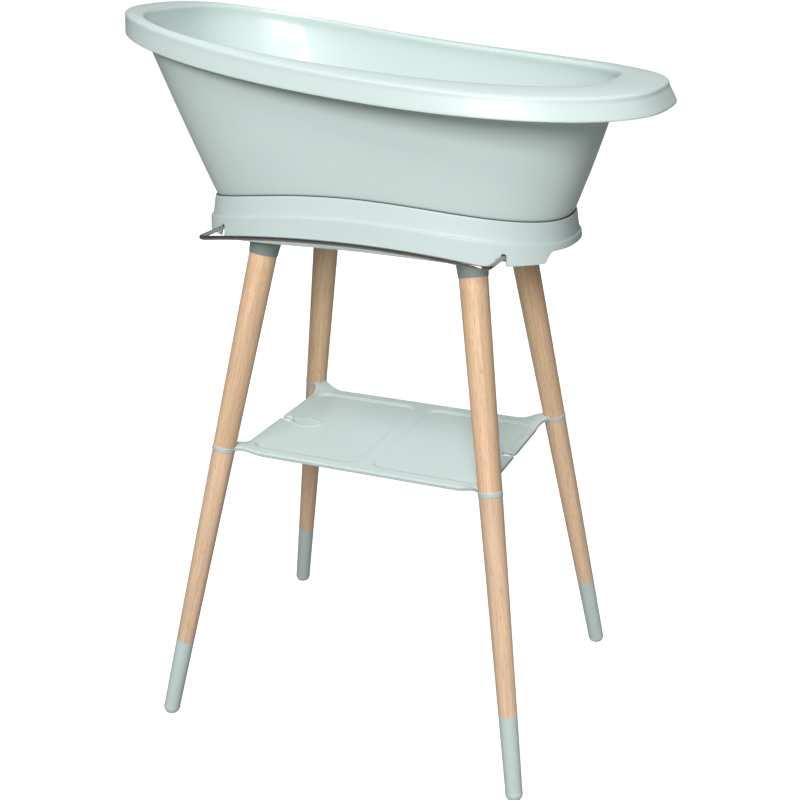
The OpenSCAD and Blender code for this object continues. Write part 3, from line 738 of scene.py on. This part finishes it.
def make_cradle():
    """Thin-walled oval band with a step, a deck, an arched apron and notches for the rail."""
    t = cradle_columns()
    top_z = cradle_top(cradle_xy(t)[:, 0])

    def at_depth(d, o):
        xy = cradle_xy(t, o)
        return with_z(xy, cradle_top(xy[:, 0]) - d)

    def flare(z):
        """How far the outer skin stands out from the top edge at height z."""
        d = top_z - z
        return np.where(d < 27.8, 0.15 * d, 7.1 + 0.1 * (d - 27.8))

    def skin(z, inset):
        o = (flare(np.broadcast_to(z, t.shape)) - inset)[:, None]
        unit = cradle_xy(t, 1) - cradle_xy(t, 0)
        return with_z(cradle_xy(t) + unit * o, z)

    def hole(z):
        return with_z(oval(t, DECK_HOLE_OVAL), z)

    edge = np.minimum(notched_edge(cradle_xy(t, APRON_OUT)), DECK_UNDER - 3)
    foot = edge + 2.2
    rows = [skin(lerp(foot, top_z - BAND_STEP, w), 0) for w in (0, 0.12, 0.3, 0.5, 0.7, 0.88, 1)]
    rows += [at_depth(depth, out) for depth, out in BAND]
    for out, up in ((-2.3, 6), (-3.4, 2), (-7, 0), (-12, 0)):
        rows.append(with_z(cradle_xy(t, out), TUB_BASE_Z + up))
    rows += [hole(z) for z in (TUB_BASE_Z, TUB_BASE_Z - 1.0, DECK_UNDER + 1.0, DECK_UNDER)]
    rows += [with_z(cradle_xy(t, -4), DECK_UNDER)]
    rows += [skin(np.full(t.shape, DECK_UNDER - 1.5), CRADLE_WALL)]
    # Rounded lower edge, from the inner to the outer skin: (height, inset)
    for up, inset in ((1.2, CRADLE_WALL), (0.35, 2.75), (0, 2.1), (0, 0.9), (0.35, 0.25), (1.2, 0)):
        rows.append(skin(edge + up, inset))
    band = np.concatenate(rows), loop_faces(len(rows), len(t), True)
    shape = join([band] + cradle_pads())
    obj = make_piece("cradle_moulding", shape, "stand", STAND_PLASTIC, 48)
    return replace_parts(obj, "cradle_frame")


# ------------------------------------------------------------------ shelf
def arc(middle, radius, start, end, count=14):
    """Points along a circular arc."""
    a = np.linspace(start, end, count)
    return np.array(middle) + radius * np.stack([np.cos(a), np.sin(a)], -1)


def shelf_corner():
    """One corner of the shelf's plan: hollow flares run from both edges to the leg ring."""
    u = RING_Z / SOCKET_Z
    c = np.array(leg_xy(RING_Z))
    r = FOOT_R + (TOP_R - FOOT_R) * u - 3
    ax, by = SHELF_HALF[0] + FLARE_X, SHELF_HALF[1] + FLARE_Y
    ay = c[1] - math.sqrt((FLARE_X + r) ** 2 - (ax - c[0]) ** 2)
    bx = c[0] - math.sqrt((FLARE_Y + r) ** 2 - (by - c[1]) ** 2)
    a1 = math.atan2(c[1] - ay, c[0] - ax)
    b1 = math.atan2(c[1] - by, c[0] - bx)
    side = arc((ax, ay), FLARE_X, math.pi, a1)
    return np.concatenate([side, arc((bx, by), FLARE_Y, b1, -math.pi / 2)])


def resample(points, step):
    """A closed outline with its points about step apart."""
    closed = np.concatenate([points, points[:1]])
    steps = np.linalg.norm(np.diff(closed, axis=0), axis=1)
    length = np.concatenate([[0], np.cumsum(steps)])
    s = np.linspace(0, length[-1], int(length[-1] / step), endpoint=False)
    return np.stack([np.interp(s, length, closed[:, k]) for k in (0, 1)], -1)


def shelf_outline():
    """Closed outline of the shelf with a round-ended slot in the middle of each end."""
    q = shelf_corner()
    loop = np.concatenate([q, q[::-1] * (-1, 1), q * (-1, -1), q[::-1] * (1, -1)])
    loop = resample(loop, OUTLINE_STEP)
    bow = arc((SHELF_HALF[0] - SLOT_IN, 0), SLOT_R, math.pi / 2, 3 * math.pi / 2, 13)
    corner = np.linspace(0, math.pi / 2, 5)
    mouth_x = SHELF_HALF[0] - MOUTH_R + MOUTH_R * np.cos(corner)
    mouth = np.stack([mouth_x, SLOT_R + MOUTH_R - MOUTH_R * np.sin(corner)], -1)
    notch = np.concatenate([mouth, bow, mouth[::-1] * (1, -1)])
    before = np.roll(loop[:, 1], 1)
    start = int(np.argmax((before < 0) & (loop[:, 1] >= 0) & (loop[:, 0] > 0)))
    loop = np.roll(loop, -start, 0)
    clear = SLOT_R + MOUTH_R + 0.5
    upper, lower = loop[loop[:, 1] > clear], loop[loop[:, 1] < -clear]
    return np.concatenate([upper, notch * (-1, 1), lower, notch[::-1]])


def signed_distance(points, loop):
    """Distance inside (positive) or outside (negative) a closed loop."""
    best = np.full(len(points), 1e9)
    inside = np.zeros(len(points), bool)
    for p0, p1 in zip(loop, np.roll(loop, -1, 0)):
        d = p1 - p0
        w = np.clip(((points - p0) @ d) / max(d @ d, 1e-9), 0, 1)
        best = np.minimum(best, np.linalg.norm(points - p0 - w[:, None] * d, axis=1))
        cross = (p0[1] > points[:, 1]) != (p1[1] > points[:, 1])
        x = p0[0] + (points[:, 1] - p0[1]) / (p1[1] - p0[1] + 1e-12) * d[0]
        inside ^= cross & (points[:, 0] < x)
    return np.where(inside, best, -best)


def rounded_box(points, centre, half, radius):
    """Distance inside (positive) or outside (negative) a rounded rectangle."""
    q = np.abs(points - centre) - np.array(half) + radius
    return radius - np.linalg.norm(np.maximum(q, 0), axis=1) - np.minimum(np.max(q, axis=1), 0)


def shelf_net(loop):
    """Points and triangles over the shelf's plan, denser along its edge."""
    ahead = np.roll(loop, -1, 0) - np.roll(loop, 1, 0)
    inward = np.stack([-ahead[:, 1], ahead[:, 0]], -1)
    inward /= np.linalg.norm(inward, axis=1)[:, None]
    if signed_distance((loop + inward * 0.5)[:8], loop).mean() < 0:
        inward = -inward
    layers = [loop]
    for inset in EDGE_INSETS:
        points = loop + inward * inset
        layers.append(points[signed_distance(points, loop) > inset * 0.8])
    gx, gy = np.meshgrid(np.arange(-240, 240, GRID_STEP), np.arange(-200, 200, GRID_STEP))
    stagger = (np.arange(gy.size) // gx.shape[1] % 2) * GRID_STEP / 2
    grid = np.stack([gx.ravel() + stagger, gy.ravel()], -1)
    layers.append(grid[signed_distance(grid, loop) > GRID_INSET])
    edges = [(i, (i + 1) % len(loop)) for i in range(len(loop))]
    points = [Vector(p) for p in np.concatenate(layers)]
    # 1: keep the triangles inside the outline
    flat, _, tris, *_ = delaunay_2d_cdt(points, edges, [], 1, 1e-6)
    return np.array([tuple(v) for v in flat]), tris


def shelf_plate():
    """The plate: soft edges, two trays with ribs, a centre ridge, necks that rise to the rings."""
    loop = shelf_outline()
    xy, tris = shelf_net(loop)
    dist = np.maximum(signed_distance(xy, loop), 0)
    dist[: len(loop)] = 0
    far = np.linalg.norm(np.abs(xy) - np.array(leg_xy(RING_Z)), axis=1) - RING_R
    lift = (RING_Z + RING_T / 2 - 0.9 - SHELF_Z) * smooth(1 - far / NECK_RUN)
    near = np.minimum(dist, SHELF_SOFT)
    fillet = SHELF_SOFT - np.sqrt(np.maximum(0, SHELF_SOFT**2 - (SHELF_SOFT - near) ** 2))
    tray = np.zeros(len(xy))
    for s in (-1, 1):
        depth = rounded_box(xy, (s * TRAY_X, 0), TRAY_HALF, TRAY_R)
        tray = np.maximum(tray, smooth(depth / TRAY_SLOPE))
    rib = 0
    for s in (-1, 1):
        off = np.abs(np.hypot(xy[:, 0] - s * RIB_X, xy[:, 1] * RIB_STRETCH) - RIB_R)
        rib = rib + smooth(1 - off / RIB_HALF)
    tray = np.clip(tray - RIB_SHARE * rib, 0, 1)
    z_top = SHELF_Z + lift - fillet - TRAY_DEPTH * tray
    z_low = SHELF_Z + lift - SHELF_T + fillet * 0.5 - UNDER_DEPTH * tray
    verts = np.concatenate([with_z(xy, z_top), with_z(xy, z_low)])
    verts[:, 0] += LEGS_X
    n = len(xy)
    faces = [list(f) for f in tris] + [[i + n for i in f][::-1] for f in tris]
    sides = {}
    for f in tris:
        sides.update(dict.fromkeys(zip(f, list(f[1:]) + [f[0]])))
    faces += [[j, i, i + n, j + n] for (i, j) in sides if (j, i) not in sides]
    return verts, faces


def leg_rings():
    """The four rings that the legs clamp, square to each leg's axis."""
    profile = []
    for k in range(RING_PROFILE):
        a = 2 * math.pi * k / RING_PROFILE
        r = RING_R - RING_WALL + RING_WALL * spow(math.cos(a), RING_POWER)
        profile.append((r, (RING_T / 2) * spow(math.sin(a), RING_POWER)))
    angle = np.linspace(0, 2 * math.pi, RING_SIDES, endpoint=False)
    cx, cy = leg_xy(RING_Z)
    lean = Vector((FOOT_XY[0] - TOP_XY[0], FOOT_XY[1] - TOP_XY[1], -SOCKET_Z)).normalized()
    rings = []
    for sx in (-1, 1):
        for sy in (-1, 1):
            axis = -Vector((lean.x * sx, lean.y * sy, lean.z))
            turn = np.array(Vector((0, 0, 1)).rotation_difference(axis).to_matrix())
            place = np.array([LEGS_X + sx * cx, sy * cy, RING_Z])
            rows = []
            for r, h in profile:
                row = np.stack([r * np.cos(angle), r * np.sin(angle), np.full(RING_SIDES, h)], -1)
                rows.append(row @ turn.T + place)
            rings.append((np.concatenate(rows), loop_faces(len(rows), RING_SIDES, True)))
    return rings


def make_shelf():
    """Shelf moulding: the plate with its four leg rings."""
    shape = join([shelf_plate()] + leg_rings())
    obj = make_piece("shelf_moulding", shape, "stand", SHELF_PLASTIC, 55)
    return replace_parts(obj, "shelf_tray")


# ------------------------------------------------------------------ towel rail
def rail_half():
    """Centre line of one half of the rail: arched bar, corner, arm, hook and turned-in end."""
    cos, sin = math.cos(RAIL_ARCH), math.sin(RAIL_ARCH)
    arch_r = (RAIL_HALF - RAIL_BEND * cos) / sin
    end = (RAIL_HALF - RAIL_HOOK, RAIL_END_Y - RAIL_HOOK)
    half = []
    for k in range(33):
        a = RAIL_ARCH * k / 32
        rise = RAIL_BEND * sin + arch_r * (math.cos(a) - cos)
        half.append((arch_r * math.sin(a), -RAIL_REACH, rise))
    for k in range(1, 13):
        b = math.pi / 2 * k / 12
        x = RAIL_BEND * math.sin(b) - RAIL_BEND
        y = -RAIL_REACH + RAIL_BEND - RAIL_BEND * math.cos(b)
        half.append((RAIL_HALF + x * cos, y, -x * sin))
    for k in range(1, 8):
        half.append((RAIL_HALF, lerp(-RAIL_REACH + RAIL_BEND, end[1], k / 8), 0))
    for k in range(13):
        h = math.pi / 2 * k / 12
        half.append((end[0] + RAIL_HOOK * math.cos(h), end[1] + RAIL_HOOK * math.sin(h), 0))
    half.append((end[0] - RAIL_END_LENGTH, end[1] + RAIL_HOOK, 0))
    return np.array(half)


def make_rail():
    """Towel rail: one bent wire, round in section, with flat ends."""
    half = rail_half()
    path = np.concatenate([half[:0:-1] * (-1, 1, 1), half]) + (RAIL_X, 0, RAIL_Z)
    ahead = np.gradient(path, axis=0)
    side = np.cross((0, 0, 1), ahead)
    side /= np.linalg.norm(side, axis=1)[:, None]
    up = np.cross(ahead, side)
    up /= np.linalg.norm(up, axis=1)[:, None]
    a = np.linspace(0, 2 * math.pi, WIRE_SIDES, endpoint=False)
    section = np.cos(a)[:, None] * side[:, None] + np.sin(a)[:, None] * up[:, None]
    tube = path[:, None] + WIRE_R * section
    last = (len(path) - 1) * WIRE_SIDES
    faces = loop_faces(len(path), WIRE_SIDES, False)
    faces += [list(range(WIRE_SIDES))[::-1], [last + i for i in range(WIRE_SIDES)]]
    shape = tube.reshape(-1, 3), faces
    obj = make_piece("rail_wire", shape, "stand", WIRE, 60)
    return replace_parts(obj, "towel_rail")


make_tub()
make_cradle()
make_shelf()
make_rail()

# ------------------------------------------------------------------ stage
FLOOR_HALF = 40.0
FLOOR_GREYS = (0.28, 0.30)
# Strength of floor and world in the light of the scene, and as the camera sees them
FLOOR_GLOW, WORLD_GLOW, SEEN_GLOW = 0.03, 0.15, 1.0
CAMERA_PLACE = (0.71625, -1.7186, 1.1910)
CAMERA_AZIMUTH, CAMERA_ELEVATION, CAMERA_ROLL = 0.38844, 0.3651, 0.0037
CAMERA_LENS, CAMERA_SENSOR = 59.207, 36.0
# Name, place, target, size, watts
LIGHTS = [
    ("softbox", (1.15, -2.2, 2.1), (-0.27, 0.15, 0.99), (0.75, 2.6), 6.5),
    ("key", (1.15, -5.2, 3.2), (0, 0, 0.7), (2.4, 2.0), 252),
    ("high", (0.3, -3.0, 4.6), (0, 0, 0.6), (2.0, 1.6), 82),
    ("foot_end", (0.62, 0.05, 2.5), (0.36, 0, 0.9), (0.8, 0.8), 14),
    ("behind", (-1.6, 3.6, 1.2), (0, 0, 0.7), (2.2, 2.0), 60),
]


def area_light(name, place, target, size, power):
    """A rectangular light that looks at target."""
    data = bpy.data.lights.new(name, "AREA")
    data.shape = "RECTANGLE"
    data.size, data.size_y = size
    data.energy = power
    light = bpy.data.objects.new(name, data)
    bpy.context.scene.collection.objects.link(light)
    light.location = place
    light.rotation_euler = (Vector(target) - Vector(place)).to_track_quat("-Z", "Y").to_euler()
    return light


def make_lights():
    """Studio lights; the softbox only mirrors in the gloss, the last two are not mirrored."""
    lights = {row[0]: area_light(*row) for row in LIGHTS}
    lights["softbox"].visible_diffuse = False
    lights["foot_end"].visible_glossy = lights["behind"].visible_glossy = False


def make_floor():
    """Pale floor that the camera sees as white."""
    mesh = bpy.data.meshes.new("floor")
    corners = [(x * FLOOR_HALF, y * FLOOR_HALF, 0) for x, y in ((-1, -1), (1, -1), (1, 1), (-1, 1))]
    mesh.from_pydata(corners, [], [(0, 1, 2, 3)])
    floor = bpy.data.objects.new("floor", mesh)
    bpy.context.scene.collection.objects.link(floor)
    mat, tree, bsdf = new_material("floor_pale")
    low, high = FLOOR_GREYS
    base = ramp(tree, noise(tree, coordinate(tree), 3.0), [(0.3, grey(low)), (0.7, grey(high))])
    tree.links.new(base, bsdf.inputs["Base Color"])
    bsdf.inputs["Roughness"].default_value = 0.9
    bsdf.inputs["Emission Color"].default_value = (1, 1, 1, 1)
    seen = tree.nodes.new("ShaderNodeLightPath").outputs["Is Camera Ray"]
    glow = to_range(tree, seen, FLOOR_GLOW, SEEN_GLOW)
    tree.links.new(glow, bsdf.inputs["Emission Strength"])
    mesh.materials.append(mat)


def make_world():
    """White surroundings, dimmer in the light of the scene than as the camera sees them."""
    world = bpy.data.worlds.new("studio")
    world.use_nodes = True
    bpy.context.scene.world = world
    tree = world.node_tree
    back = tree.nodes["Background"]
    back.inputs["Color"].default_value = (1.0, 1.0, 1.0, 1.0)
    seen = tree.nodes.new("ShaderNodeLightPath").outputs["Is Camera Ray"]
    tree.links.new(to_range(tree, seen, WORLD_GLOW, SEEN_GLOW), back.inputs["Strength"])


def make_camera():
    """Camera in front, a little to the foot end and above the rim."""
    flat = math.cos(CAMERA_ELEVATION)
    sin, cos = math.sin(CAMERA_AZIMUTH), math.cos(CAMERA_AZIMUTH)
    back = Vector((sin * flat, -cos * flat, math.sin(CAMERA_ELEVATION)))
    right = Vector((cos, sin, 0.0))
    up = back.cross(right)
    x = right * math.cos(CAMERA_ROLL) + up * math.sin(CAMERA_ROLL)
    y = up * math.cos(CAMERA_ROLL) - right * math.sin(CAMERA_ROLL)
    data = bpy.data.cameras.new("camera")
    data.lens = CAMERA_LENS
    data.sensor_width = CAMERA_SENSOR
    camera = bpy.data.objects.new("camera", data)
    bpy.context.scene.collection.objects.link(camera)
    turn = Matrix((x, y, back)).transposed().to_4x4()
    camera.matrix_world = Matrix.Translation(CAMERA_PLACE) @ turn
    bpy.context.scene.camera = camera


make_floor()
make_world()
make_camera()
make_lights()
bpy.context.scene.view_settings.view_transform = "Standard"
